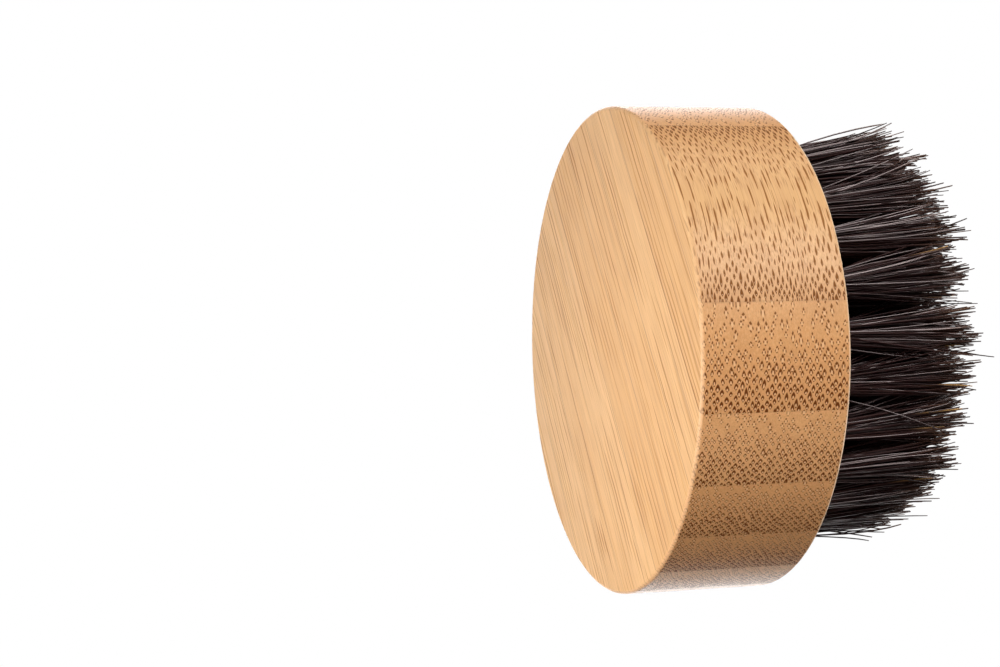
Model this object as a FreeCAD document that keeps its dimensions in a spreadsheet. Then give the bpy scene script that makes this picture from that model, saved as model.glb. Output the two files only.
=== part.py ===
"""Round bamboo beard brush: a laminated bamboo block with anchored tufts of natural bristle.

The block stands on its flat back face. Z runs along the brush's axis, from the back face at Z = 0 towards
the bristle tips. The bamboo fibres run along X, and the glued strips are stacked along Y.
"""

import FreeCAD, Part  # noqa: E401
import os
import sys

import Sketcher
from FreeCAD import Placement, Rotation, Vector

STRIP_COUNT = 9
RING_COUNT = 5

# alias, value, meaning. Lengths are in millimetres and angles in degrees.
SIZES = [
    ("block_diameter", 60, "outside diameter of the bamboo block"),
    ("block_thickness", 18.2, "block, from back face to bristle face"),
    ("back_rim_round", 0.5, "radius eased onto the rim of the back face"),
    ("front_rim_round", 0.4, "radius eased onto the rim of the bristle face"),
    ("strip_thickness", 7.5, "bamboo strip, from one glue line to the next"),
    ("first_glue_line", -27.05, "Y of the glue line nearest the -Y side"),
    ("hole_diameter", 3, "blind hole drilled for each tuft"),
    ("hole_depth", 9, "blind hole, below the bristle face"),
    ("ring_spacing", 5.625, "radial step from one ring of tufts to the next; ring 1 is the tuft on the axis"),
    ("added_tufts", 6, "tufts that each ring has more than the ring inside it"),
    ("ring_twist", 1.6, "angle that each ring is turned past the ring outside it"),
    ("root_clearance", 0.05, "radial gap between a tuft's root and its hole"),
    ("bristle_length", 18.4, "bristles, above the bristle face"),
    ("tip_diameter", 4.6, "width that a tuft fans out to at its tips"),
    ("tip_dome", 0.7, "height of a tuft's rounded crown"),
    ("anchor_width", 3.6, "anchor, end to end: wider than the hole, so that its ends bite into the wood"),
    ("anchor_height", 2, "anchor, along the hole"),
    ("anchor_thickness", 0.3, "thickness of the flat anchor"),
    ("fold_height", 1.2, "folded hairs, from the hole's bottom to the anchor"),
]
HOLE_FLOOR = "(Sizes.block_thickness - Sizes.hole_depth)"
DRILL_OVERRUN = 1.0

doc = FreeCAD.newDocument("beard_brush")


def make_sheet():
    sheet = doc.addObject("Spreadsheet::Sheet", "Sizes")
    for row, (alias, value, meaning) in enumerate(SIZES, start=1):
        sheet.set(f"A{row}", meaning)
        sheet.set(f"B{row}", str(value))
        sheet.setAlias(f"B{row}", alias)
    doc.recompute()


def ring_radius(ring):
    return f"({ring - 1} * Sizes.ring_spacing)"


def origin_feature(body, role):
    return next(item for item in body.Origin.OriginFeatures if item.Role == role)


def new_body(label):
    body = doc.addObject("PartDesign::Body", label)
    body.Label = label
    body.AllowCompound = True
    return body


def attach(body, feature, role):
    feature.AttachmentSupport = [(origin_feature(body, role), "")]
    feature.MapMode = "FlatFace"


def bind(sketch, name, constraint, formula):
    """Adds a dimension to the sketch and ties it to the sheet."""
    index = sketch.addConstraint(constraint)
    sketch.renameConstraint(index, name)
    sketch.setExpression(f"Constraints.{name}", formula)


def repeat_round_ring(body, feature, ring):
    """Repeats the first tuft's feature for the whole ring, and turns the ring by its own twist."""
    body.Placement = Placement(Vector(0, 0, 0), Rotation(Vector(0, 0, 1), 0))
    body.setExpression("Placement.Rotation.Angle", f"{RING_COUNT - ring} * Sizes.ring_twist")
    if ring == 1:
        return
    pattern = body.newObject("PartDesign::PolarPattern", "RoundTheRing")
    pattern.Originals = [feature]
    pattern.Refine = False
    pattern.Axis = (origin_feature(body, "Z_Axis"), [""])
    pattern.Angle = 360
    pattern.setExpression("Occurrences", f"1 + {ring - 1} * Sizes.added_tufts")
    body.Tip = pattern


def ease_rim(body, feature, pick, size):
    """Rounds the rim at one end of the block: pick is min for the back face and max for the bristle face."""
    rims = [(edge.CenterOfMass.z, n) for n, edge in enumerate(feature.Shape.Edges, start=1) if edge.isClosed()]
    eased = body.newObject("PartDesign::Fillet", "EasedRim")
    eased.Base = (feature, [f"Edge{pick(rims)[1]}"])
    eased.setExpression("Radius", size)
    doc.recompute()
    return eased


def make_blank():
    """The turned block before drilling: a disc with both rims eased."""
    body = new_body("block_blank")
    outline = body.newObject("Sketcher::SketchObject", "BlockOutline")
    attach(body, outline, "XY_Plane")
    outline.addGeometry(Part.Circle(Vector(0, 0, 0), Vector(0, 0, 1), 30), False)
    outline.addConstraint(Sketcher.Constraint("Coincident", 0, 3, -1, 1))
    bind(outline, "diameter", Sketcher.Constraint("Diameter", 0, 60), "Sizes.block_diameter")
    block = body.newObject("PartDesign::Pad", "Block")
    block.Profile = outline
    block.setExpression("Length", "Sizes.block_thickness")
    doc.recompute()
    back_eased = ease_rim(body, block, min, "Sizes.back_rim_round")
    ease_rim(body, back_eased, max, "Sizes.front_rim_round")
    return body


def make_drill(ring):
    """One ring of drilled cylinders, a little taller than the wood that they remove."""
    body = new_body(f"drill_ring_{ring}")
    hole = body.newObject("PartDesign::AdditiveCylinder", "Hole")
    attach(body, hole, "XY_Plane")
    hole.setExpression("Radius", "Sizes.hole_diameter / 2")
    hole.setExpression("Height", f"Sizes.hole_depth + {DRILL_OVERRUN}")
    hole.setExpression("AttachmentOffset.Base.x", ring_radius(ring))
    hole.setExpression("AttachmentOffset.Base.z", HOLE_FLOOR)
    repeat_round_ring(body, hole, ring)
    return body


def make_anchor_ring(ring):
    """One ring of flat metal anchors, each standing across its hole with its ends bitten into the wood."""
    body = new_body(f"anchor_ring_{ring}")
    anchor = body.newObject("PartDesign::AdditiveBox", "Anchor")
    attach(body, anchor, "XY_Plane")
    anchor.setExpression("Length", "Sizes.anchor_thickness")
    anchor.setExpression("Width", "Sizes.anchor_width")
    anchor.setExpression("Height", "Sizes.anchor_height")
    anchor.setExpression("AttachmentOffset.Base.x", f"{ring_radius(ring)} - Sizes.anchor_thickness / 2")
    anchor.setExpression("AttachmentOffset.Base.y", "-Sizes.anchor_width / 2")
    anchor.setExpression("AttachmentOffset.Base.z", f"{HOLE_FLOOR} + Sizes.fold_height")
    repeat_round_ring(body, anchor, ring)
    return body


def tuft_outline(body, ring):
    """Half a tuft, seen from the side: root wall, fanned flank and domed crown, closed along its own axis."""
    half = body.newObject("Sketcher::SketchObject", "HalfTuft")
    attach(body, half, "XZ_Plane")
    foot = Vector(0, 9.2, 0)
    root = Vector(1.45, 9.2, 0)
    collar = Vector(1.45, 18.2, 0)
    shoulder = Vector(2.3, 35.9, 0)
    bulge = Vector(1.2, 36.4, 0)
    crown = Vector(0, 36.6, 0)
    half.addGeometry(Part.LineSegment(foot, root), False)
    half.addGeometry(Part.LineSegment(root, collar), False)
    half.addGeometry(Part.LineSegment(collar, shoulder), False)
    half.addGeometry(Part.ArcOfCircle(shoulder, bulge, crown), False)
    half.addGeometry(Part.LineSegment(crown, foot), False)
    for side in range(5):
        half.addConstraint(Sketcher.Constraint("Coincident", side, 2, (side + 1) % 5, 1))
    half.addConstraint(Sketcher.Constraint("Horizontal", 0))
    half.addConstraint(Sketcher.Constraint("Vertical", 1))
    half.addConstraint(Sketcher.Constraint("Vertical", 4))
    half.addConstraint(Sketcher.Constraint("PointOnObject", 0, 1, -2))
    half.addConstraint(Sketcher.Constraint("PointOnObject", 3, 3, -2))
    heights = [
        ("foot_height", 0, HOLE_FLOOR),
        ("collar_height", 1, "Sizes.block_thickness"),
        ("shoulder_height", 2, "Sizes.block_thickness + Sizes.bristle_length - Sizes.tip_dome"),
        ("crown_height", 3, "Sizes.block_thickness + Sizes.bristle_length"),
    ]
    for name, side, formula in heights:
        bind(half, name, Sketcher.Constraint("DistanceY", -1, 1, side, 2, crown.y), formula)
    bind(
        half,
        "root_radius",
        Sketcher.Constraint("DistanceX", 0, 1, 0, 2, root.x),
        "Sizes.hole_diameter / 2 - Sizes.root_clearance",
    )
    bind(
        half,
        "tip_radius",
        Sketcher.Constraint("DistanceX", -1, 1, 2, 2, shoulder.x),
        "Sizes.tip_diameter / 2",
    )
    half.setExpression("AttachmentOffset.Base.x", ring_radius(ring))
    return half


def make_tuft_ring(ring, anchor_ring):
    """One ring of bristle bundles, each folded around its anchor at the bottom of its hole."""
    body = new_body(f"bundle_ring_{ring}")
    half = tuft_outline(body, ring)
    bundle = body.newObject("PartDesign::Revolution", "Bundle")
    bundle.Profile = half
    bundle.ReferenceAxis = (half, ["V_Axis"])
    bundle.Angle = 360
    repeat_round_ring(body, bundle, ring)
    tufts = doc.addObject("Part::Cut", f"tuft_ring_{ring}")
    tufts.Label = f"tuft_ring_{ring}"
    tufts.Base = body
    tufts.Tool = anchor_ring
    return tufts


def make_slab(strip):
    """The flat-sided space between two glue lines, longer and taller than the block."""
    slab = doc.addObject("Part::Box", f"slab_{strip}")
    slab.setExpression("Length", "Sizes.block_diameter + 2")
    slab.setExpression("Width", "Sizes.strip_thickness")
    slab.setExpression("Height", "Sizes.block_thickness + 2")
    slab.setExpression("Placement.Base.x", "-Sizes.block_diameter / 2 - 1")
    slab.setExpression(
        "Placement.Base.y", f"Sizes.first_glue_line + {strip - 2} * Sizes.strip_thickness"
    )
    slab.setExpression("Placement.Base.z", "-1")
    return slab


def make_strip(drilled, strip):
    """One bamboo strip: the drilled block's share between two glue lines."""
    piece = doc.addObject("Part::Common", f"bamboo_strip_{strip}")
    piece.Label = f"bamboo_strip_{strip}"
    piece.Base = drilled
    piece.Tool = make_slab(strip)
    return piece


def make_drilled_block(anchor_rings):
    """The block with its blind holes, and with the slits that the anchors' ends press into their walls."""
    cutters = doc.addObject("Part::MultiFuse", "drills_and_anchors")
    cutters.Shapes = [make_drill(ring) for ring in range(1, RING_COUNT + 1)] + anchor_rings
    drilled = doc.addObject("Part::Cut", "drilled_block")
    drilled.Base = make_blank()
    drilled.Tool = cutters
    return drilled


def check(pieces, solids_expected):
    """Stops the build if anything failed to compute or a piece isn't whole."""
    for item in doc.Objects:
        if "Invalid" in item.State or "Error" in item.State:
            sys.exit(f"{item.Label} did not compute: {item.State}")
    for piece in pieces:
        shape = piece.Shape
        if shape.isNull() or not shape.isValid():
            sys.exit(f"{piece.Label} has no valid shape")
        if len(shape.Solids) != solids_expected[piece.Label]:
            sys.exit(f"{piece.Label} has {len(shape.Solids)} solids")


def main():
    make_sheet()
    rings = range(1, RING_COUNT + 1)
    anchor_rings = [make_anchor_ring(ring) for ring in rings]
    tuft_rings = [make_tuft_ring(ring, anchors) for ring, anchors in zip(rings, anchor_rings)]
    drilled = make_drilled_block(anchor_rings)
    strips = [make_strip(drilled, strip) for strip in range(1, STRIP_COUNT + 1)]
    doc.recompute()

    sheet = doc.getObject("Sizes")
    expected = {strip.Label: 1 for strip in strips}
    for ring in rings:
        tufts = int(1 + (ring - 1) * sheet.added_tufts)
        expected[f"anchor_ring_{ring}"] = tufts
        expected[f"tuft_ring_{ring}"] = tufts
    pieces = strips + tuft_rings + anchor_rings
    check(pieces, expected)

    os.makedirs("parts", exist_ok=True)
    for piece in pieces:
        piece.Shape.exportStep(f"parts/{piece.Label}.step")
        print(piece.Label, len(piece.Shape.Solids), "solids,", round(piece.Shape.Volume, 2), "mm3")


main()
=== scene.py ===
"""The looks of the round bamboo beard brush: laminated bamboo, loose bristles, lights, floor and camera.

Lengths are in millimetres where a name ends in _MM or _mm, and in metres elsewhere. The brush stands on its
flat back face with its bristles up (+Z). The bamboo fibres run along X, and the glued strips are stacked
along Y.
"""

import math

import bpy
import numpy as np
from mathutils import Matrix, Vector


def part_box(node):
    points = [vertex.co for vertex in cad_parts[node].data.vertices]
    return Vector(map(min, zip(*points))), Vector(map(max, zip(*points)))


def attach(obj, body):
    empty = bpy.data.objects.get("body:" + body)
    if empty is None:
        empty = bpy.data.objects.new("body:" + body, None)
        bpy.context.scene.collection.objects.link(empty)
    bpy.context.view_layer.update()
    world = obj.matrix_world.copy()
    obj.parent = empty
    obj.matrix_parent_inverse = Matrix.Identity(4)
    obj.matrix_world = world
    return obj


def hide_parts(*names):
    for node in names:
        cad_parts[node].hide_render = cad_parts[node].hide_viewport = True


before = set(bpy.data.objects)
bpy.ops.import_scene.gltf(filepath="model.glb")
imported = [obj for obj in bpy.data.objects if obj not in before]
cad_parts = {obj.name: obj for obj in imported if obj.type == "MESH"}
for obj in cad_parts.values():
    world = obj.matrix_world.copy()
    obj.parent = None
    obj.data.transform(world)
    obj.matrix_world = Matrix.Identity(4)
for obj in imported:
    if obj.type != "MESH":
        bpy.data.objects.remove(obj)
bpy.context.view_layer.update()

MM = 0.001
ROOT_BODY = "root"

# ---------------------------------------------------------------- the block's layout, from the frame
STRIPS = sorted(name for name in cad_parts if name.startswith("bamboo_strip_"))
TUFT_RINGS = sorted(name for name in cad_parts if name.startswith("tuft_ring_"))
ANCHOR_RINGS = sorted(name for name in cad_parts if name.startswith("anchor_ring_"))
MIDDLE_LOW, MIDDLE_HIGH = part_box("bamboo_strip_5")
BLOCK_TOP_MM = MIDDLE_HIGH.z / MM
STRIP_MM = (MIDDLE_HIGH.y - MIDDLE_LOW.y) / MM
GLUE_LINE_MM = MIDDLE_LOW.y / MM
TIP_TOP_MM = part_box("tuft_ring_5")[1].z / MM
HOLE_FLOOR_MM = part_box("tuft_ring_5")[0].z / MM
ANCHOR_TOP_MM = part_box("anchor_ring_5")[1].z / MM
FREE_MM = TIP_TOP_MM - BLOCK_TOP_MM  # how far the bristles stand out of the wood


# ---------------------------------------------------------------- node trees
class Tree:
    """Short names for the nodes of one material, so that a formula reads as one."""

    def __init__(self, name):
        self.material = bpy.data.materials.new(name)
        self.material.use_nodes = True
        self.nodes = self.material.node_tree.nodes
        self.links = self.material.node_tree.links
        self.shader = self.nodes["Principled BSDF"]

    def plug(self, socket, value):
        if isinstance(value, bpy.types.NodeSocket):
            self.links.new(value, socket)
        else:
            socket.default_value = value

    def math(self, operation, *values, clamp=False):
        node = self.nodes.new("ShaderNodeMath")
        node.operation = operation
        node.use_clamp = clamp
        for socket, value in zip(node.inputs, values):
            self.plug(socket, value)
        return node.outputs[0]

    def add(self, a, b):
        return self.math("ADD", a, b)

    def sub(self, a, b):
        return self.math("SUBTRACT", a, b)

    def mul(self, a, b):
        return self.math("MULTIPLY", a, b)

    def div(self, a, b):
        return self.math("DIVIDE", a, b)

    def length(self, a, b):
        return self.math("SQRT", self.add(self.mul(a, a), self.mul(b, b)))

    def scaled(self, value, factor, offset, clamp=False):
        return self.math("MULTIPLY_ADD", value, factor, offset, clamp=clamp)

    def fade(self, value, low, high, out_low=0.0, out_high=1.0):
        """Smooth change from out_low to out_high as value goes from low to high."""
        node = self.nodes.new("ShaderNodeMapRange")
        node.interpolation_type = "SMOOTHSTEP"
        for socket, number in zip(node.inputs, (value, low, high, out_low, out_high)):
            self.plug(socket, number)
        return node.outputs[0]

    def vector(self, x, y, z):
        node = self.nodes.new("ShaderNodeCombineXYZ")
        for socket, value in zip(node.inputs, (x, y, z)):
            self.plug(socket, value)
        return node.outputs[0]

    def split(self, vector):
        node = self.nodes.new("ShaderNodeSeparateXYZ")
        self.links.new(vector, node.inputs[0])
        return node.outputs[0], node.outputs[1], node.outputs[2]

    def place(self):
        """The point's own X, Y and Z on the object, in metres."""
        return self.split(self.nodes.new("ShaderNodeTexCoord").outputs["Object"])

    def place_mm(self):
        return [self.div(axis, MM) for axis in self.place()]

    def noise(self, place_mm, per_mm, detail=2.0, roughness=0.5, shift=0.0):
        """Smooth noise with its own fineness along each axis, moved along the first."""
        x, y, z = (self.mul(axis, fineness) for axis, fineness in zip(place_mm, per_mm))
        if shift:
            x = self.add(x, shift)
        node = self.nodes.new("ShaderNodeTexNoise")
        self.links.new(self.vector(x, y, z), node.inputs["Vector"])
        node.inputs["Scale"].default_value = 1.0
        node.inputs["Detail"].default_value = detail
        node.inputs["Roughness"].default_value = roughness
        return node.outputs["Fac"]

    def random(self, vector):
        """Three random numbers for each whole-numbered vector."""
        node = self.nodes.new("ShaderNodeTexWhiteNoise")
        node.noise_dimensions = "3D"
        self.links.new(vector, node.inputs["Vector"])
        return self.split(node.outputs["Color"])

    def mix(self, share, first, second):
        """The first colour, with the given share of the second."""
        node = self.nodes.new("ShaderNodeMix")
        node.data_type = "RGBA"
        self.plug(node.inputs["Factor"], share)
        self.plug(node.inputs[6], first)
        self.plug(node.inputs[7], second)
        return node.outputs[2]

    def mix_shaders(self, share, first, second):
        node = self.nodes.new("ShaderNodeMixShader")
        for socket, link in zip(node.inputs, (share, first, second)):
            self.links.new(link, socket)
        return node.outputs[0]

    def attribute(self, name):
        node = self.nodes.new("ShaderNodeAttribute")
        node.attribute_name = name
        return node.outputs["Fac"]

    def feed(self, name, value):
        """Joins a value to the shader's socket of that name."""
        self.links.new(value, self.shader.inputs[name])


# ---------------------------------------------------------------- bamboo
# Linear colours. Grain that is cut lengthwise is paler and yellower than end grain.
SIDE_GROUND = (0.67, 0.365, 0.140, 1)
SIDE_LIGHT = (0.78, 0.48, 0.225, 1)
END_GROUND = (0.68, 0.318, 0.118, 1)
END_LIGHT = (0.80, 0.430, 0.190, 1)
CLOUDED = (0.44, 0.20, 0.07, 1)
SKIN_SIDE = (0.50, 0.25, 0.09, 1)
BUNDLE_CORE = (0.84, 0.56, 0.31, 1)
BUNDLE_SHEATH = (0.115, 0.020, 0.000, 1)
FIBRE_SIDE = (0.27, 0.095, 0.018, 1)
# A painted highlight: the pale line that light draws along the eased rims.
PAINTED_EDGE_HIGHLIGHT = (0.84, 0.62, 0.40, 1)
GLUE = (0.25, 0.11, 0.04, 1)

# How fine each noise is along X, Y and Z, per millimetre: most are drawn out along the fibres.
STREAKS_PER_MM = (0.07, 4.0, 4.0)
FINE_PER_MM = (0.25, 8.0, 8.0)
CLOUDS_PER_MM = (0.10, 0.5, 0.5)
SPECKLE_PER_MM = (2.0, 5.0, 5.0)
THREADS_PER_MM = (0.03, 7.0, 7.0)
BANDS_PER_MM = (0.012, 1.1, 0.3)
DRIFT_Y_PER_MM = (0.24, 0.40, 0.70)
DRIFT_Z_PER_MM = (0.03, 0.15, 0.25)

# A pair holds a value at a strip's sparse side, near the culm's pith, and at its dense side, under its skin.
ROW_MM = (0.66, 0.39)  # from one row of bundles to the next
COLUMN_MM = 0.92  # from bundle to bundle along a row
CLOSING = 1.0 - ROW_MM[1] / ROW_MM[0]  # how much the rows close up across a strip
ROWS = STRIP_MM * math.log(ROW_MM[0] / ROW_MM[1]) / (ROW_MM[0] - ROW_MM[1])
BUNDLE_HALF_Y_MM = 0.34
BUNDLE_HALF_Z_MM = (0.29, 0.2552)
CORE_MM = (0.12, 0.084)
CORE_OFF_CENTRE = (0.03, 0.08)
CAP_STARTS = (0.34, -0.32)  # how far out the dark fibre starts, in half bundles: on the pith side,
SIDES_START = (0.42, 0.06)  # on the two flanks
FOOT_STARTS = (0.46, 0.26)  # and on the skin side
JITTER_ROWS = 0.45  # how far bundles stand out of line, in rows
JITTER_COLUMNS = (0.42, 0.18)  # and in columns
SMALLEST_BUNDLE = 0.80
BUNDLE_SPREAD = 0.35
CUT_LENGTHWISE_SIZE = 0.55  # a bundle that is cut lengthwise shows only part of its width
GAPS = (0.90, 0.0)  # the share of every second bundle that is missing
FINEST_GRAIN = 0.75  # spacing of the bundles in the finest strip, where it is 1 in the coarsest
FINE_IS_DENSER = 0.9  # how much sooner the fibre of a fine strip's bundles grows together
DRIFT_Y_MM = (0.9, 0.35)  # how far bundles wander across a strip, seen on the rim and on the faces
DRIFT_Z_MM = 1.2

# How strongly each feature shows over the wood's ground colour.
LIGHT_STREAKS = 1.8
PALE_STRIP = 0.6
FINE_SHARE = 0.30
CLOUD_SHARE = 0.18
SPECKLE_SHARE = 0.28
THREAD_SHARE = 0.45
SKIN_SHARE = (0.20, 0.06)  # on the rim and on the faces
CORE_SHARE = (0.45, 0.15)  # on the rim and on the faces
FIBRE_SHARE = (0.85, 0.95)  # at the sparse side and at the dense side
BAND_SHARE = (0.18, 0.75)  # between and inside the bands of the faces
FIBRE_ON_ROUNDED = 0.65
GLUE_HALF_MM = (0.03, 0.09)  # where a glue line starts to fade, and where it ends
GLUE_SHARE = (0.70, 0.15)  # where it is cut lengthwise and on end grain
GLUE_BROKEN = 0.45
GLUE_ON_ROUNDED = 0.5
EDGE_HIGHLIGHT_SHARES = (0.22, 0.65)  # painted highlight on the back rim and on the front rim
LACQUER_ROUGHNESS = 0.34
STREAK_ROUGHNESS = 0.16
FIBRE_ROUGHNESS = 0.10
LACQUER_SPECULAR = 0.40
FIBRE_DULLNESS = 0.28
LACQUER_IOR = 1.45
PORE_DEPTH_MM = 0.02
PORE_STRENGTH = 0.30


class Bamboo(Tree):
    """Laminated bamboo as a solid texture.

    Bundles of fibre run along X, sparse at each strip's -Y side and dense at its +Y side. strip numbers the
    strips, and across runs from 0 to 1 over each. end_grain is 1 where the surface looks along X, and face
    where it looks along Z. lengthwise is 1 where there is no end grain, and rounded on the eased rims.
    """

    def __init__(self):
        super().__init__("laminated_bamboo")
        self.at_mm = self.place_mm()
        strips_up = self.div(self.sub(self.at_mm[1], GLUE_LINE_MM), STRIP_MM)
        self.strip = self.math("FLOOR", strips_up)
        self.across = self.sub(strips_up, self.strip)

        # Each strip has its own paleness, its own place for its bundles in Z, and its own coarseness.
        self.tone, _, self.seed = self.random(self.vector(self.strip, 3.0, 11.0))
        coarseness = self.math("FRACT", self.scaled(self.strip, 0.85, 10.50))
        self.grain = self.scaled(self.mul(coarseness, coarseness), 1.0 - FINEST_GRAIN, FINEST_GRAIN)

        normal = self.nodes.new("ShaderNodeNewGeometry").outputs["Normal"]
        normal_x, _, self.normal_z = self.split(normal)
        slope = self.math("ABSOLUTE", self.normal_z)
        self.end_grain = self.fade(self.math("ABSOLUTE", normal_x), 0.0, 0.75)
        self.lengthwise = self.fade(self.end_grain, 0.1, 0.9, 1.0, 0.0)
        self.face = self.fade(slope, 0.20, 1.0)
        self.rounded = self.mul(self.fade(slope, 0.10, 0.50), self.fade(slope, 0.94, 1.0, 1.0, 0.0))
        self.streaks = self.noise(self.at_mm, STREAKS_PER_MM, 4.0, 0.6)

    def wander(self):
        """A point's place among the bundles, across its strip and in Z. They wander as they run along X."""
        drift_y = self.sub(self.noise(self.at_mm, DRIFT_Y_PER_MM, 1.0), 0.5)
        drift_y = self.mul(drift_y, self.fade(self.face, 0.0, 1.0, *DRIFT_Y_MM))
        drift_z = self.sub(self.noise(self.at_mm, DRIFT_Z_PER_MM, 0.0, shift=40.0), 0.5)
        drift_z = self.mul(drift_z, DRIFT_Z_MM)
        z_mm = self.add(self.add(self.at_mm[2], drift_z), self.mul(self.seed, 50.0))
        across = self.add(self.across, self.div(drift_y, STRIP_MM))
        return self.math("MINIMUM", self.math("MAXIMUM", across, 0.0), 0.995), z_mm

    def fibre_masks(self, towards_pith, aside, density):
        """One bundle: the masks of its pale core and of the dark fibre round it.

        The fibre is a dark cap on the pith side and smaller spots on the other sides. They grow together
        towards the strip's dense side, and where the bundle is cut lengthwise. Both distances are in
        millimetres from the bundle's middle.
        """
        # In half bundles, a is towards the pith and b is to either side. The outline is a rounded kite.
        a = self.div(towards_pith, BUNDLE_HALF_Y_MM)
        b = self.div(aside, self.fade(density, 0.3, 1.0, *BUNDLE_HALF_Z_MM))
        oval = self.math("SQRT", self.add(self.mul(a, a), self.mul(self.mul(b, b), 1.15)))
        pointed = self.math("MAXIMUM", self.add(a, b), self.sub(self.mul(b, 0.9), self.mul(a, 1.15)))
        outline = self.add(self.mul(pointed, 0.5), self.mul(oval, 0.5))
        inside = self.fade(outline, 0.80, 1.06, 1.0, 0.0)

        cap = self.sub(self.sub(a, self.mul(b, 0.6)), self.fade(density, 0.1, 1.0, *CAP_STARTS))
        cap = self.add(cap, self.lengthwise)
        sides = self.sub(self.sub(b, self.math("ABSOLUTE", a)), self.fade(density, 0.1, 0.9, *SIDES_START))
        foot = self.sub(self.sub(self.mul(a, -1.25), b), self.fade(density, 0.1, 0.9, *FOOT_STARTS))
        fibre = self.fade(self.math("MAXIMUM", self.math("MAXIMUM", cap, sides), foot), -0.12, 0.12)

        below = self.add(self.mul(towards_pith, 0.8), self.fade(density, 0.3, 1.0, *CORE_OFF_CENTRE))
        from_core = self.div(self.length(aside, below), self.fade(density, 0.3, 0.95, *CORE_MM))
        core = self.fade(self.add(from_core, self.lengthwise), 0.7, 1.25, 1.0, 0.0)
        return core, self.mul(self.mul(inside, fibre), self.sub(1.0, core))

    def lattice(self, row, z_mm, shift):
        """The core and fibre masks of every second row of bundles: odd rows for shift 0, even rows for 1."""
        number = self.math("FLOOR", self.div(self.add(row, shift), 2.0))
        centre_row = self.sub(self.add(self.mul(number, 2.0), 1.0), shift)
        share = self.div(self.mul(centre_row, self.grain), ROWS)
        density = self.add(share, self.mul(self.sub(1.0, self.grain), FINE_IS_DENSER))
        row_mm = self.mul(self.mul(self.grain, ROW_MM[0]), self.math("POWER", ROW_MM[1] / ROW_MM[0], share))
        column_mm = self.mul(self.grain, COLUMN_MM)
        column = self.add(self.div(z_mm, column_mm), 0.5 * shift)
        column_number = self.math("FLOOR", column)
        own = self.vector(number, column_number, self.add(self.strip, shift * 17.0))
        moved_y, moved_z, size = self.random(own)

        towards_pith = self.mul(self.sub(centre_row, row), row_mm)
        jitter_y = self.mul(self.sub(moved_y, 0.5), self.mul(row_mm, JITTER_ROWS))
        aside = self.mul(self.sub(self.sub(column, column_number), 0.5), column_mm)
        loose = self.fade(share, 0.0, 0.8, *JITTER_COLUMNS)
        jitter_z = self.mul(self.sub(moved_z, 0.5), self.mul(column_mm, loose))
        scale = self.mul(self.scaled(size, BUNDLE_SPREAD, SMALLEST_BUNDLE), self.scaled(self.grain, 0.7, 0.3))
        scale = self.mul(scale, self.fade(self.lengthwise, 0.0, 1.0, 1.0, CUT_LENGTHWISE_SIZE))
        towards_pith = self.div(self.add(towards_pith, jitter_y), scale)
        aside = self.div(self.math("ABSOLUTE", self.add(aside, jitter_z)), scale)
        core, fibre = self.fibre_masks(towards_pith, aside, density)

        # Near the pith only every second bundle is there. Which ones is left to chance in each even row.
        first = number
        if shift:
            first = self.math("ROUND", self.random(self.vector(number, 5.0, self.strip))[0])
        every_second = self.math("FLOORED_MODULO", self.add(first, column_number), 2.0)
        filled_in = self.math("GREATER_THAN", size, self.fade(density, 0.0, 0.45, *GAPS))
        present = self.math("MAXIMUM", every_second, filled_in)
        return self.mul(core, present), self.mul(fibre, present)

    def bundles(self, across, z_mm):
        """The masks of all the pale cores and all the dark fibre. Rows close up evenly across the strip."""
        left = self.sub(1.0, self.mul(across, CLOSING))
        row = self.mul(self.math("LOGARITHM", left, math.e), -STRIP_MM / (ROW_MM[0] * CLOSING))
        row = self.div(row, self.grain)
        odd_core, odd_fibre = self.lattice(row, z_mm, 0.0)
        even_core, even_fibre = self.lattice(row, z_mm, 1.0)
        return self.math("MAXIMUM", odd_core, even_core), self.math("MAXIMUM", odd_fibre, even_fibre)

    def ground(self):
        """The wood between the bundles: streaked, cloudy, speckled on end grain and darker under the skin."""
        pale_strip = self.mul(self.tone, PALE_STRIP)
        light_share = self.scaled(self.sub(self.streaks, 0.5), LIGHT_STREAKS, pale_strip, clamp=True)
        dark = self.mix(self.end_grain, SIDE_GROUND, END_GROUND)
        light = self.mix(self.end_grain, SIDE_LIGHT, END_LIGHT)
        colour = self.mix(light_share, dark, light)
        fine = self.noise(self.at_mm, FINE_PER_MM, 2.0, 0.6)
        colour = self.mix(self.fade(fine, 0.45, 0.72, 0.0, FINE_SHARE), colour, CLOUDED)
        clouds = self.noise(self.at_mm, CLOUDS_PER_MM)
        colour = self.mix(self.fade(clouds, 0.35, 0.75, 0.0, CLOUD_SHARE), colour, CLOUDED)
        speckle = self.fade(self.noise(self.at_mm, SPECKLE_PER_MM, 2.0, 0.6), 0.45, 0.70)
        colour = self.mix(self.mul(speckle, self.mul(self.end_grain, SPECKLE_SHARE)), colour, CLOUDED)
        threads = self.fade(self.noise(self.at_mm, THREADS_PER_MM, 1.0), 0.54, 0.70)
        thread_share = self.mul(threads, self.mul(self.lengthwise, THREAD_SHARE))
        colour = self.mix(thread_share, colour, FIBRE_SIDE)
        skin_share = self.mul(self.fade(self.across, 0.60, 1.0), self.fade(self.face, 0.0, 1.0, *SKIN_SHARE))
        return self.mix(skin_share, colour, SKIN_SIDE)

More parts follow.
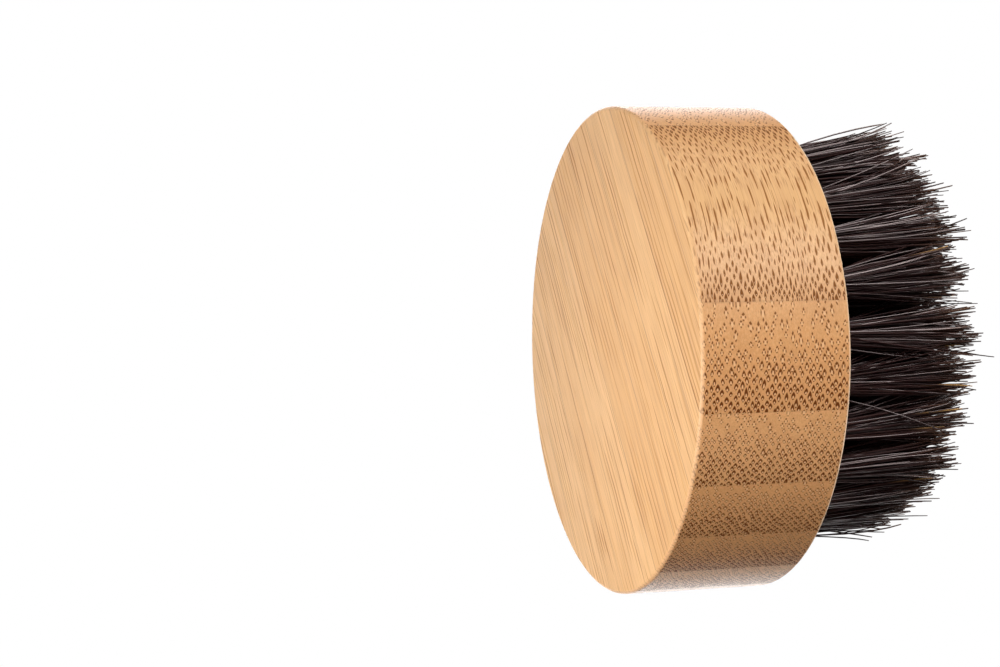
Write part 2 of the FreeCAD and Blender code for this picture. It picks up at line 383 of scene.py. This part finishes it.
    def with_bundles(self, colour, across, core, fibre):
        """Draws the bundles over a colour. On the faces their fibre comes and goes in broad bands."""
        core_share = self.mul(core, self.fade(self.face, 0.0, 1.0, *CORE_SHARE))
        colour = self.mix(core_share, colour, BUNDLE_CORE)
        bands = self.fade(self.noise(self.at_mm, BANDS_PER_MM, 2.0, 0.6), 0.40, 0.62, *BAND_SHARE)
        banded = self.scaled(self.sub(bands, 1.0), self.face, 1.0)
        share = self.mul(self.mul(fibre, self.fade(across, 0.0, 0.85, *FIBRE_SHARE)), banded)
        share = self.mul(share, self.fade(self.rounded, 0.0, 1.0, 1.0, FIBRE_ON_ROUNDED))
        return self.mix(share, colour, self.mix(self.lengthwise, BUNDLE_SHEATH, FIBRE_SIDE))

    def with_glue_lines(self, colour):
        """Draws the thin dark lines between the strips, broken here and there and faint on end grain."""
        from_line_mm = self.mul(self.math("MINIMUM", self.across, self.sub(1.0, self.across)), STRIP_MM)
        line = self.fade(from_line_mm, *GLUE_HALF_MM, 1.0, 0.0)
        broken = self.fade(self.streaks, 0.35, 0.55, GLUE_BROKEN, 1.0)
        share = self.mul(self.mul(line, broken), self.fade(self.end_grain, 0.0, 0.6, *GLUE_SHARE))
        share = self.mul(share, self.fade(self.rounded, 0.0, 1.0, 1.0, GLUE_ON_ROUNDED))
        return self.mix(share, colour, GLUE)

    def with_painted_rim_highlights(self, colour):
        """Paints a pale highlight along the eased rims, more on the bristles' side."""
        edge_highlight = self.mul(self.rounded, self.fade(self.normal_z, -0.1, 0.1, *EDGE_HIGHLIGHT_SHARES))
        return self.mix(edge_highlight, colour, PAINTED_EDGE_HIGHLIGHT)

    def lacquer(self, core, fibre):
        """A thin clear lacquer: duller over the fibre, which it sinks into."""
        roughness = self.add(self.mul(self.streaks, STREAK_ROUGHNESS), LACQUER_ROUGHNESS)
        self.feed("Roughness", self.add(roughness, self.mul(fibre, FIBRE_ROUGHNESS)))
        self.feed("Specular IOR Level", self.scaled(fibre, -FIBRE_DULLNESS, LACQUER_SPECULAR))
        self.shader.inputs["IOR"].default_value = LACQUER_IOR
        bump = self.nodes.new("ShaderNodeBump")
        bump.inputs["Strength"].default_value = PORE_STRENGTH
        bump.inputs["Distance"].default_value = PORE_DEPTH_MM * MM
        pores = self.sub(self.add(self.mul(self.streaks, 0.8), self.mul(core, 0.2)), self.mul(fibre, 0.8))
        self.links.new(pores, bump.inputs["Height"])
        self.feed("Normal", bump.outputs[0])


def bamboo_material():
    wood = Bamboo()
    across, z_mm = wood.wander()
    core, fibre = wood.bundles(across, z_mm)
    colour = wood.with_bundles(wood.ground(), across, core, fibre)
    wood.feed("Base Color", wood.with_painted_rim_highlights(wood.with_glue_lines(colour)))
    wood.lacquer(core, fibre)
    return wood.material


# ---------------------------------------------------------------- bristle
HAIR_DARK = (0.0085, 0.0020, 0.0022, 1)
HAIR_WARM = (0.038, 0.0150, 0.0135, 1)
HAIR_MOTTLE = (0.018, 0.006, 0.0055, 1)
BROWN_TIP_GLOW = (0.15, 0.075, 0.038, 1)
GOLDEN_TIP_GLOW = (0.50, 0.28, 0.10, 1)
HAIR_TINT = (1.0, 0.84, 0.82, 1)
MOTTLE_PER_MM = (3.0, 3.0, 0.9)
MOTTLE_SHARE = 0.5
BROWN_GLOW_PART = (0.62, 1.0)  # where the painted brown glow of light through a hair's tip sets in, from its root at 0 to its tip at 1
BROWN_GLOW_SHARE = (0.12, 0.60)
GOLDEN_GLOW_PART = (0.60, 0.95)
GOLDEN_GLOW_TONES = (0.988, 0.994)  # only the few hairs with a higher tone get a painted golden glow of backlight at their tips
HAIR_SHINE = (0.10, 1.35)  # specular level of the dullest and of the shiniest hairs
HAIR_IOR = 1.55


def bristle_material():
    """One hair, from its root to its tip. tone is a random number per hair, and along runs from 0 to 1."""
    tree = Tree("dark_bristle")
    tone = tree.attribute("tone")
    along = tree.attribute("along")
    mottle = tree.noise(tree.place_mm(), MOTTLE_PER_MM)
    colour = tree.mix(tree.fade(tone, 0.0, 0.9), HAIR_DARK, HAIR_WARM)
    colour = tree.mix(tree.fade(mottle, 0.3, 0.7, 0.0, MOTTLE_SHARE), colour, HAIR_MOTTLE)
    # Painted glow: light shining through the thin hair tips, drawn as a brown tint.
    brown_tip_glow = tree.mul(tree.fade(along, *BROWN_GLOW_PART), tree.fade(tone, 0.60, 0.95, *BROWN_GLOW_SHARE))
    colour = tree.mix(brown_tip_glow, colour, BROWN_TIP_GLOW)
    # Painted backlight: a golden glow at the tips of a few hairs.
    golden_glow = tree.mul(tree.fade(tone, *GOLDEN_GLOW_TONES), tree.fade(along, *GOLDEN_GLOW_PART))
    tree.feed("Base Color", tree.mix(golden_glow, colour, GOLDEN_TIP_GLOW))
    tree.feed("Roughness", tree.scaled(mottle, 0.22, 0.22))
    own_shine = tree.math("FRACT", tree.mul(tone, 7.31))
    tree.feed("Specular IOR Level", tree.fade(own_shine, 0.50, 0.98, *HAIR_SHINE))
    tree.shader.inputs["Specular Tint"].default_value = HAIR_TINT
    tree.shader.inputs["IOR"].default_value = HAIR_IOR
    return tree.material


SEED = 20260
HAIR_SIDES = 5
HAIRS_PER_TUFT = 190
ROOT_RADIUS_MM = 1.38
FAN_RADIUS_MM = 3.10
HAIR_RADIUS_MM = (0.066, 0.108)
HAIR_TAPER = (1.0, 0.94, 0.74)  # thickness at the last three rings of points
TIP_CONE = 0.8  # height of the cone that closes a hair, in hair radii
HAIR_STEPS = np.array((0.0, 0.2, 0.4, 0.6, 0.78, 0.91, 1.0))  # its rings of points, from the wood to its tip
ANCHOR_HALF_MM = 0.27  # the hairs pass this far to each side of their anchor's middle
ABOVE_FLOOR_MM = 0.15
ABOVE_ANCHOR_MM = 0.3
FAN_UNEVEN = 0.12
TIP_UNEVEN_MM = 0.45
WILD_SHARE = 0.25  # hairs that lean their own way
WILD_MM = 1.55
CLUMPS = 24
CLUMP_PULL = (0.1, 0.95)  # how far each hair joins its clump
COMBED_MM = np.array((-1.25, -0.90))  # how far the tips lean to one side, as brushed hair does
COMB_UNEVEN_MM = 0.40
RIM_TUFTS_MM = 20.0  # tufts further out than this are trimmed upright at the brush's rim
RIM_REACH_MM = 1.2  # how far outward their hairs lean freely
RIM_HELD_BACK = 0.50  # the share of any further lean that is taken back
TRIM_MM = 0.25  # how much shorter than the CAD's tips the bristles are on average
CLUMP_UNEVEN_MM = 0.90
HAIR_UNEVEN_MM = 0.45
WORN_MM = 0.45  # how much shorter a hair is on average, a few of them much more
STRAY_SHARE = 0.035  # single hairs that stand out of the mass
STRAY_MM = 1.4
STRAY_LONGER_MM = (-0.5, 2.3)
LONGEST_STRAY_MM = 2.6  # how far a single hair may stand past the bristles' trimmed length
KINK_MM = 0.28
BOW_MM = 0.42
GOLDEN_ANGLE = math.pi * (3 - math.sqrt(5))
DISC_JITTER = 0.05


def disc_points(rng, count, radius):
    """Points spread evenly over a disc, jittered so that they show no pattern."""
    steps = np.arange(count) + 0.5
    reach = radius * np.sqrt(steps / count)
    turn = steps * GOLDEN_ANGLE + rng.uniform(0, 2 * math.pi)
    points = np.stack([reach * np.cos(turn), reach * np.sin(turn)], axis=1)
    return points + rng.normal(0, DISC_JITTER * radius, points.shape)


def hair_roots(rng, count):
    """Where the hairs leave the wood, packed into their round hole."""
    roots = disc_points(rng, count, ROOT_RADIUS_MM)
    reach = np.linalg.norm(roots, axis=1, keepdims=True)
    return roots * np.minimum(1.0, ROOT_RADIUS_MM / np.maximum(reach, 1e-6))


def hair_tips(rng, roots, at_rim, outward):
    """Where each hair heads for as it fans out, and which hairs are wild."""
    count = len(roots)
    spread = FAN_RADIUS_MM / ROOT_RADIUS_MM
    tips = roots * spread * rng.normal(1.0, FAN_UNEVEN, (count, 1))
    tips += rng.normal(0, TIP_UNEVEN_MM, (count, 2))
    wild = rng.random(count) < WILD_SHARE
    tips[wild] += rng.normal(0, WILD_MM, (int(wild.sum()), 2))
    if at_rim:
        beyond = np.maximum(tips @ outward - RIM_REACH_MM, 0.0)
        tips -= beyond[:, None] * RIM_HELD_BACK * outward
    tips += COMBED_MM + rng.normal(0, COMB_UNEVEN_MM, 2)
    return tips, wild


def gather_clumps(rng, tips, wild):
    """How far each hair is drawn to its nearest clump, and which clump that is."""
    clump_at = disc_points(rng, CLUMPS, FAN_RADIUS_MM) + COMBED_MM
    clump_of = np.argmin(np.linalg.norm(tips[:, None] - clump_at[None], axis=2), axis=1)
    pull = (clump_at[clump_of] - tips) * rng.uniform(*CLUMP_PULL, (len(tips), 1))
    pull[wild] = 0
    return pull, clump_of


def hair_lengths(rng, tips, clump_of):
    """The hairs' free lengths. Stray hairs also get a lean of their own, which moves their tips."""
    count = len(tips)
    length = FREE_MM - TRIM_MM + rng.normal(0, CLUMP_UNEVEN_MM, CLUMPS)[clump_of]
    length += rng.normal(0, HAIR_UNEVEN_MM, count)
    length -= rng.exponential(WORN_MM, count)
    strays = rng.random(count) < STRAY_SHARE
    tips[strays] += rng.normal(0, STRAY_MM, (int(strays.sum()), 2))
    length[strays] += rng.uniform(*STRAY_LONGER_MM, int(strays.sum()))
    return np.minimum(length, FREE_MM + LONGEST_STRAY_MM)


def buried_ends(roots, outward):
    """The part of each hair inside its hole, down one side of the anchor, as two points per hair."""
    across = np.array([-outward[1], outward[0]])
    side = roots @ outward
    tucked = np.where(side < 0, -1.0, 1.0) * np.maximum(np.abs(side), ANCHOR_HALF_MM)
    buried = tucked[:, None] * outward + (roots @ across)[:, None] * across
    column = np.ones((len(roots), 1))
    bottom = np.concatenate([buried, column * (HOLE_FLOOR_MM + ABOVE_FLOOR_MM)], axis=1)
    pinned = np.concatenate([buried, column * (ANCHOR_TOP_MM + ABOVE_ANCHOR_MM)], axis=1)
    return np.stack([bottom, pinned], axis=1)


def hair_paths(rng, count, centre, outward):
    """Centre lines of one tuft's hairs, in millimetres, as an array of hairs by rings by XYZ."""
    roots = hair_roots(rng, count)
    tips, wild = hair_tips(rng, roots, np.linalg.norm(centre) > RIM_TUFTS_MM, outward)
    pull, clump_of = gather_clumps(rng, tips, wild)
    kink = rng.normal(0, KINK_MM, (count, 2))
    length = hair_lengths(rng, tips, clump_of)
    bow = rng.normal(0, BOW_MM, (count, 2))

    # Seen from above, a hair fans out, bows, joins its clump towards its tip and kinks at its very end.
    step = HAIR_STEPS[None, :, None]
    flat = roots[:, None] + (tips - roots)[:, None] * (0.85 * step + 0.15 * step**2)
    flat += bow[:, None] * 2 * step * (1 - step)
    flat += pull[:, None] * step**4 + kink[:, None] * step**6
    lean = np.linalg.norm(tips - roots, axis=1)
    rise = np.sqrt(np.maximum(length**2 - lean**2, 1.0))
    height = BLOCK_TOP_MM + rise[:, None] * HAIR_STEPS[None, :]
    loose = np.concatenate([flat, height[:, :, None]], axis=2)
    paths = np.concatenate([buried_ends(roots, outward), loose], axis=1)
    paths[:, :, :2] += centre
    return paths


def hair_points(paths, radii):
    """The points of thin tubes round the paths, slightly thinner towards their blunt tips."""
    hairs, rings, _ = paths.shape
    taper = np.ones(rings)
    taper[-len(HAIR_TAPER):] = HAIR_TAPER
    ahead = np.gradient(paths, axis=1)
    ahead /= np.linalg.norm(ahead, axis=2, keepdims=True)
    first = np.cross(ahead, np.array([0.0, 1.0, 0.0]))
    first /= np.linalg.norm(first, axis=2, keepdims=True)
    second = np.cross(ahead, first)
    turn = np.arange(HAIR_SIDES) * 2 * math.pi / HAIR_SIDES
    circle = np.cos(turn)[:, None] * first[:, :, None] + np.sin(turn)[:, None] * second[:, :, None]
    size = radii[:, None, None, None] * taper[None, :, None, None]
    tube = paths[:, :, None] + circle * size
    tip = paths[:, -1] + ahead[:, -1] * radii[:, None] * TIP_CONE
    return np.concatenate([tube.reshape(hairs, -1, 3), tip[:, None]], axis=1)


def hair_faces(hairs, rings):
    """The faces that close each tube: its wall, the cone at its tip and its flat foot."""
    walls = []
    for ring in range(rings - 1):
        for side in range(HAIR_SIDES):
            a = ring * HAIR_SIDES + side
            b = ring * HAIR_SIDES + (side + 1) % HAIR_SIDES
            walls.append((a, b, b + HAIR_SIDES, a + HAIR_SIDES))
    last = (rings - 1) * HAIR_SIDES
    caps = [(last + side, last + (side + 1) % HAIR_SIDES, last + HAIR_SIDES) for side in range(HAIR_SIDES)]
    foot = list(range(HAIR_SIDES))[::-1]
    starts = np.arange(hairs)[:, None] * (rings * HAIR_SIDES + 1)
    faces = []
    for shapes in (walls, caps, [foot]):
        one_hair = np.array(shapes)
        faces += (one_hair.reshape(1, -1) + starts).reshape(-1, one_hair.shape[1]).tolist()
    return faces


def hair_mesh(name, paths, radii, tones):
    """One tuft's hairs as a mesh that knows each hair's tone, and how far along a hair each point is."""
    hairs, rings, _ = paths.shape
    points = hair_points(paths, radii)
    mesh = bpy.data.meshes.new(name)
    mesh.from_pydata((points.reshape(-1, 3) * MM).tolist(), [], hair_faces(hairs, rings))
    mesh.shade_smooth()
    along = np.clip((points[:, :, 2] - BLOCK_TOP_MM) / FREE_MM, 0, 1)
    tone = np.repeat(tones[:, None], points.shape[1], axis=1)
    for label, values in (("along", along), ("tone", tone)):
        layer = mesh.attributes.new(label, "FLOAT", "POINT")
        layer.data.foreach_set("value", values.astype(np.float32).ravel())
    return mesh


CROWN_MM = 0.002  # the middle of a tuft's crown is within this of the highest point
APART_MM = 1.0  # points further apart than this belong to different tufts


def tuft_centres(node):
    """Where a ring's tufts stand: the middle of the crown of each, read from the frame."""
    points = np.array([v.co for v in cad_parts[node].data.vertices]) / MM
    crown = points[points[:, 2] > TIP_TOP_MM - CROWN_MM][:, :2]
    centres = []
    for point in crown:
        if all(np.linalg.norm(point - other) > APART_MM for other in centres):
            centres.append(point)
    return sorted(centres, key=lambda c: math.atan2(c[1], c[0]))


def make_tufts(material):
    rng = np.random.default_rng(SEED)
    for ring, node in enumerate(TUFT_RINGS, start=1):
        for number, centre in enumerate(tuft_centres(node), start=1):
            reach = np.linalg.norm(centre)
            outward = centre / reach if reach > APART_MM else np.array((1.0, 0.0))
            paths = hair_paths(rng, HAIRS_PER_TUFT, centre, outward)
            radii = rng.uniform(*HAIR_RADIUS_MM, HAIRS_PER_TUFT)
            name = f"tuft_{ring}_{number:02d}"
            mesh = hair_mesh(name, paths, radii, rng.random(HAIRS_PER_TUFT))
            mesh.materials.append(material)
            tuft = bpy.data.objects.new(name, mesh)
            bpy.context.scene.collection.objects.link(tuft)
            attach(tuft, ROOT_BODY)
            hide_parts(node)


# ---------------------------------------------------------------- anchors
STEEL_DARK = (0.50, 0.49, 0.47, 1)
STEEL_LIGHT = (0.68, 0.67, 0.65, 1)
DRAWN_PER_MM = (2.0, 2.0, 40.0)


def anchor_material():
    """Drawn steel wire, cut and flattened."""
    tree = Tree("anchor_steel")
    drawn = tree.noise(tree.place_mm(), DRAWN_PER_MM, 3.0)
    tree.feed("Base Color", tree.mix(drawn, STEEL_DARK, STEEL_LIGHT))
    tree.feed("Roughness", tree.scaled(drawn, 0.2, 0.25))
    tree.shader.inputs["Metallic"].default_value = 1.0
    return tree.material


def finish_cad_nodes(names, material):
    for name in names:
        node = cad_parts[name]
        node.data.materials.clear()
        node.data.materials.append(material)


# ---------------------------------------------------------------- camera, floor and lights
LENS_MM = 72.8
SENSOR_MM = 36.0
CLIP_START = 0.005
CAMERA_AT = (0.1352, -0.1922, -0.0866)
CAMERA_RIGHT = (0.1914, -0.2270, 0.9549)  # the direction that points right in the picture
CAMERA_BACK = (0.5573, -0.7755, -0.2961)  # the direction that points back at the viewer


def make_camera():
    """Looks at the back face and the rim from below, turned on its side, so that the bristles point right."""
    camera = bpy.data.objects.new("camera", bpy.data.cameras.new("camera"))
    camera.data.lens = LENS_MM
    camera.data.sensor_width = SENSOR_MM
    camera.data.clip_start = CLIP_START
    right = Vector(CAMERA_RIGHT).normalized()
    back = Vector(CAMERA_BACK)
    back = (back - right * back.dot(right)).normalized()
    up = back.cross(right)
    turn = Matrix((right, up, back)).transposed().to_4x4()
    camera.matrix_world = Matrix.Translation(CAMERA_AT) @ turn
    bpy.context.scene.collection.objects.link(camera)
    bpy.context.scene.camera = camera


FLOOR_HALF = 1.5
FLOOR_GREY = (0.80, 0.80, 0.80, 1)
FLOOR_FADES = (0.08, 0.40)  # from the brush, where the floor starts and ends its change into the surround


def floor_material():
    """Pale and matt, fading into the white surround, and clear from below, where all around is white."""
    tree = Tree("pale_floor")
    tree.shader.inputs["Base Color"].default_value = FLOOR_GREY
    tree.shader.inputs["Roughness"].default_value = 0.9
    x, y, _ = tree.place()
    far = tree.fade(tree.length(x, y), *FLOOR_FADES)
    surround = tree.nodes.new("ShaderNodeEmission").outputs[0]
    clear = tree.nodes.new("ShaderNodeBsdfTransparent").outputs[0]
    below = tree.nodes.new("ShaderNodeNewGeometry").outputs["Backfacing"]
    faded = tree.mix_shaders(far, tree.shader.outputs[0], surround)
    shown = tree.mix_shaders(below, faded, clear)
    tree.links.new(shown, tree.nodes["Material Output"].inputs["Surface"])
    return tree.material


def make_floor():
    mesh = bpy.data.meshes.new("floor")
    corners = [(x * FLOOR_HALF, y * FLOOR_HALF, 0) for x, y in ((-1, -1), (1, -1), (1, 1), (-1, 1))]
    mesh.from_pydata(corners, [], [(0, 1, 2, 3)])
    mesh.materials.append(floor_material())
    floor = bpy.data.objects.new("floor", mesh)
    floor.visible_shadow = False
    floor.visible_diffuse = False
    floor.visible_glossy = False
    bpy.context.scene.collection.objects.link(floor)


def make_world(seen, mirrored, ambient):
    """A white surround, with its own strength for the camera, for reflections and for soft light."""
    world = bpy.data.worlds.new("studio")
    bpy.context.scene.world = world
    world.use_nodes = True
    nodes, links = world.node_tree.nodes, world.node_tree.links
    path = nodes.new("ShaderNodeLightPath")
    glossy = nodes.new("ShaderNodeMapRange")
    links.new(path.outputs["Is Glossy Ray"], glossy.inputs[0])
    glossy.inputs[3].default_value = ambient
    glossy.inputs[4].default_value = mirrored
    camera = nodes.new("ShaderNodeMapRange")
    links.new(path.outputs["Is Camera Ray"], camera.inputs[0])
    links.new(glossy.outputs[0], camera.inputs[3])
    camera.inputs[4].default_value = seen
    backdrop = nodes["Background"]
    backdrop.inputs["Color"].default_value = (1, 1, 1, 1)
    links.new(camera.outputs[0], backdrop.inputs["Strength"])


# name, direction that the light comes from, distance and diameter in metres, power in watts
LIGHTS = [
    ("key", (-0.07, -1.0, 0.36), 0.8, 0.45, 5.2),
    ("under", (0.12, -0.66, -0.74), 0.5, 0.35, 0.7),
    ("under_low", (0.035, -0.01, -0.128), 0.133, 0.08, 0.155),
    ("side", (0.95, -0.45, -0.2), 0.8, 0.45, 1.0),
    ("head", (-0.8, -0.59, 0.25), 0.8, 0.45, 1.4),
    ("backdrop", (-0.557, 0.776, 0.296), 0.9, 1.2, 10.0),
    ("behind", (0.0, 0.95, 0.28), 0.8, 0.5, 1.4),
    ("over_rim", (-0.83, 0.47, 0.28), 0.8, 0.4, 1.1),
    ("top", (0.15, 0.25, 1.0), 0.9, 0.6, 4.0),
]


def make_light(name, direction, distance, diameter, watts):
    """A soft round light that shines at the middle of the block's bristle face."""
    light = bpy.data.objects.new(name, bpy.data.lights.new(name, "AREA"))
    light.data.shape = "DISK"
    light.data.size = diameter
    light.data.energy = watts
    away = Vector(direction).normalized()
    light.location = away * distance + Vector((0, 0, BLOCK_TOP_MM * MM))
    light.rotation_euler = away.to_track_quat("Z", "Y").to_euler()
    bpy.context.scene.collection.objects.link(light)


bpy.context.scene.view_settings.view_transform = "Standard"
make_camera()
make_floor()
make_world(seen=1.0, mirrored=0.12, ambient=0.08)
for light in LIGHTS:
    make_light(*light)
finish_cad_nodes(STRIPS, bamboo_material())
finish_cad_nodes(ANCHOR_RINGS, anchor_material())
make_tufts(bristle_material())
